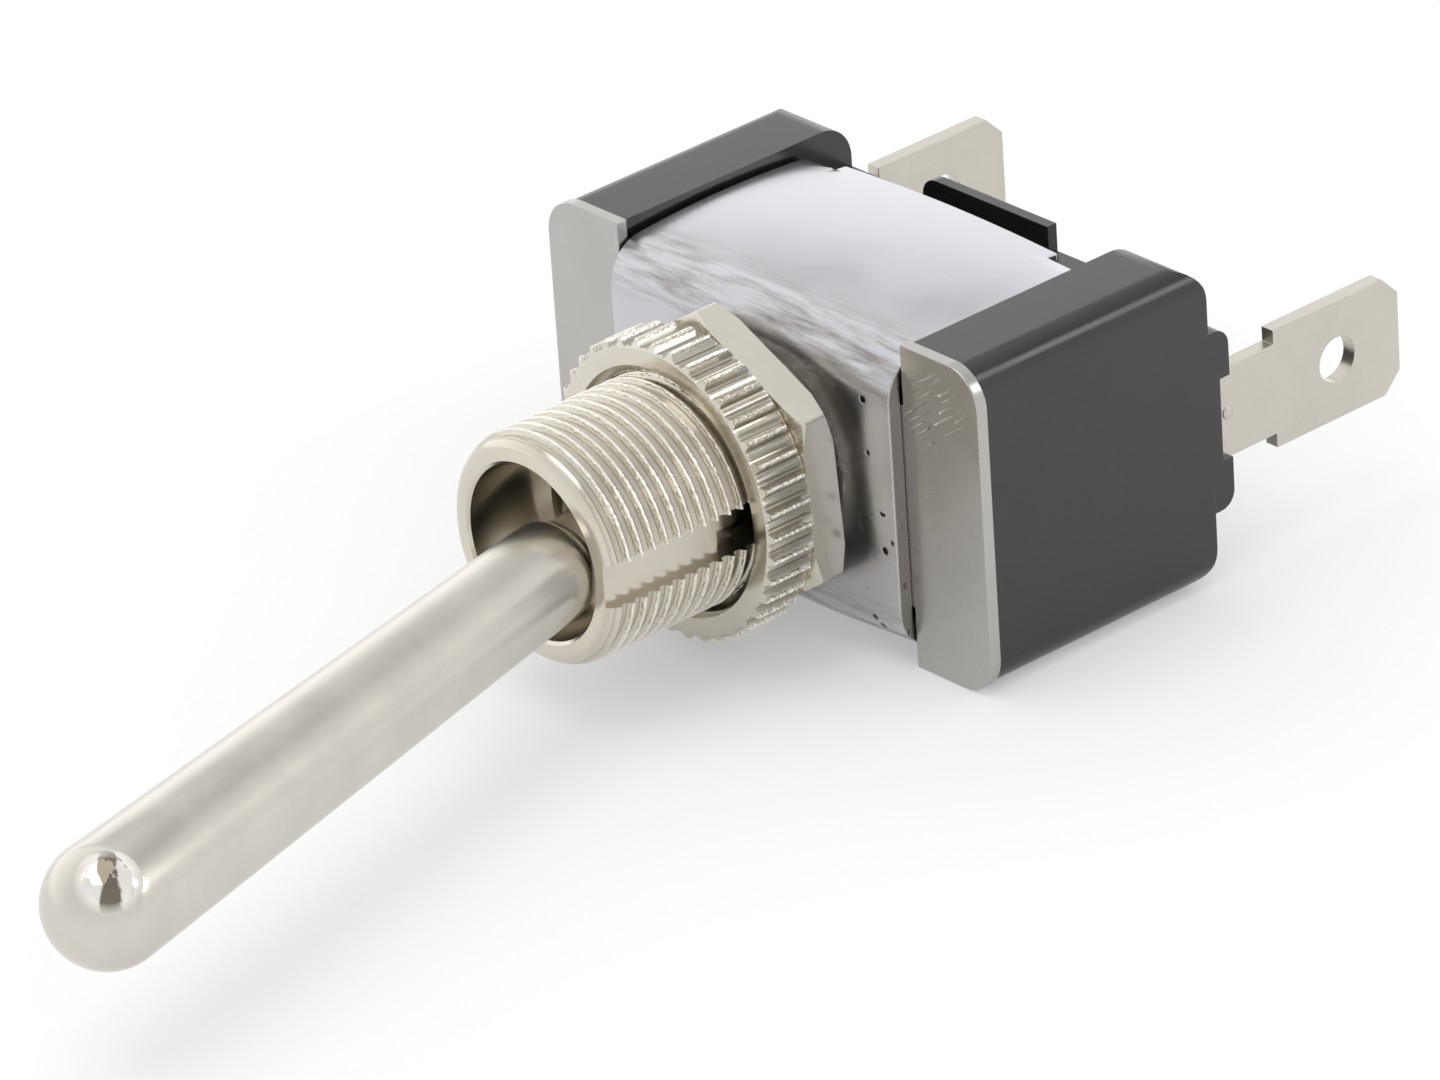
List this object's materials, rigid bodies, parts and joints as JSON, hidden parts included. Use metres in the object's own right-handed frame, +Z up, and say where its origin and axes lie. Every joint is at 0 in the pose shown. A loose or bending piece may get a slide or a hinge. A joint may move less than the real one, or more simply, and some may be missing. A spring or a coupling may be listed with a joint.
{
  "type": "panel toggle switch",
  "caption": "Panel toggle switch with a threaded bushing, long round lever, stamped steel bracket, black moulded base and tab terminals.",
  "frame": {"origin": "on the bushing axis, where the bushing's shoulder meets the front of the bracket", "axes": "-Y along the bushing axis towards the lever, +X along the base towards the load terminal, +Z up, the lever swings in the XY plane"},
  "size_m": [0.0306, 0.0817, 0.0172],
  "materials": {
    "nickel": "satin nickel plate",
    "plated_steel": "bright zinc plate",
    "steel": "plain",
    "spring_steel": "drawn wire",
    "nylon": "moulded",
    "fibre": "vulcanised fibre",
    "phenolic": "moulded",
    "tinned_brass": "tin plate",
    "brass": "turned",
    "copper": "rolled",
    "silver": "coined"
  },
  "bodies": {
    "housing": {"bushing": "nickel", "knurled_nut": "nickel", "hex_nut": "nickel", "frame_bracket": "plated_steel", "face_plate": "plated_steel", "insulating_plate": "fibre", "base_housing": "phenolic", "common_terminal": "tinned_brass", "load_terminal": "tinned_brass", "common_rivet": "brass", "load_rivet": "brass", "common_washer": "steel", "load_washer": "steel", "fixed_contact": "silver"},
    "lever": {"toggle_lever": "nickel", "pivot_pin": "steel", "actuator_spring": "spring_steel"},
    "plunger": {"plunger": "nylon"},
    "rocker": {"contact_rocker": "copper", "moving_contact": "silver"}
  },
  "joints": [
    {"name": "lever_tilt", "type": "hinge", "parent": "housing", "child": "lever", "pos_m": [0, -0.0074, 0], "axis": [0, 0, 1], "range_deg": [-30, 0]},
    {"name": "plunger_slide", "type": "slide", "parent": "lever", "child": "plunger", "axis": [-0.2588, 0.9659, 0], "range_m": [-0.0008, 0], "stiffness_N_per_m": 1500, "springref_m": 0.0015, "deforming": ["actuator_spring"]},
    {"name": "rocker_tilt", "type": "hinge", "parent": "housing", "child": "rocker", "pos_m": [0, 0.0094, 0], "axis": [0, 0, 1], "range_deg": [0, 15]}
  ],
  "couplings": [
    {"joint": "rocker_tilt", "follows": "lever_tilt", "ratio": -0.5}
  ]
}
